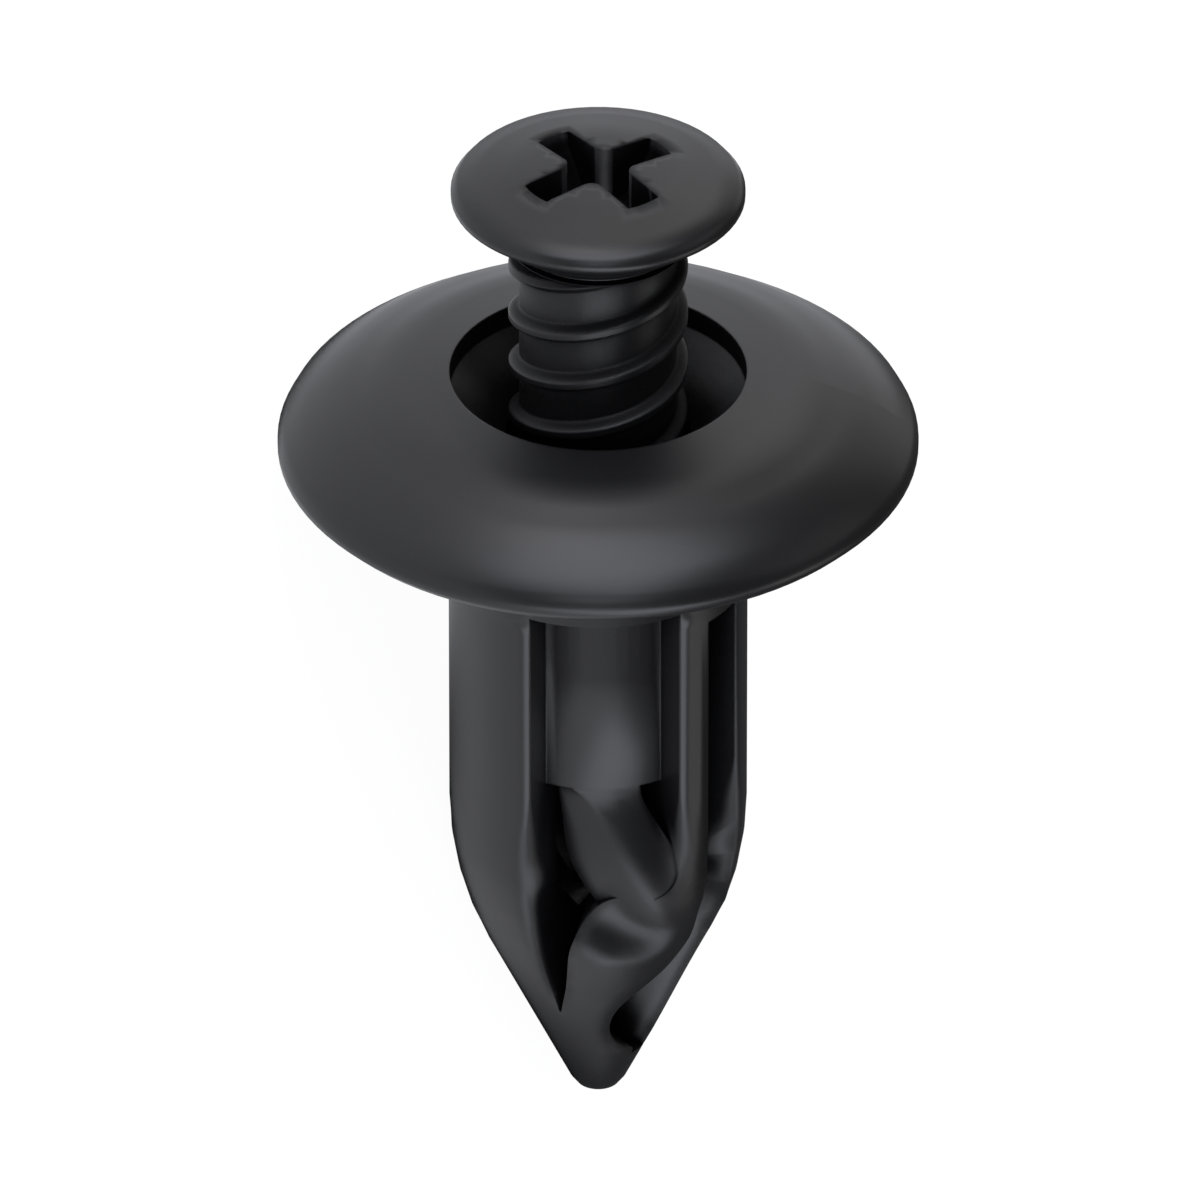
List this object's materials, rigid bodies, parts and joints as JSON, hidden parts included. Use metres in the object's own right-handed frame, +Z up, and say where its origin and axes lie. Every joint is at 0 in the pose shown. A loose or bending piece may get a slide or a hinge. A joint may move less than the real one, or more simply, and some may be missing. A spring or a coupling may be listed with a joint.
{
  "type": "plastic clip",
  "caption": "Screw-type plastic trim clip: a domed flange on a slotted stem with twisted legs, and a coarse-threaded screw with a cross recess that spreads them.",
  "frame": {"origin": "middle of the footprint of the clip as it lies, on the table's surface", "axes": "+Y along the table towards the screw head, the clip's own axis rising towards it by about 20 degrees; +Z up"},
  "size_m": [0.02, 0.0332, 0.0189],
  "materials": {
    "grommet_nylon": "satin moulded black",
    "screw_nylon": "satin moulded black"
  },
  "bodies": {
    "grommet": {"grommet_body": "grommet_nylon"},
    "screw": {"expander_screw": "screw_nylon"}
  },
  "joints": [
    {"name": "screw_travel", "type": "slide", "parent": "grommet", "child": "screw", "axis": [0, 0.9384, 0.3455], "range_m": [-0.0069, 0]}
  ]
}
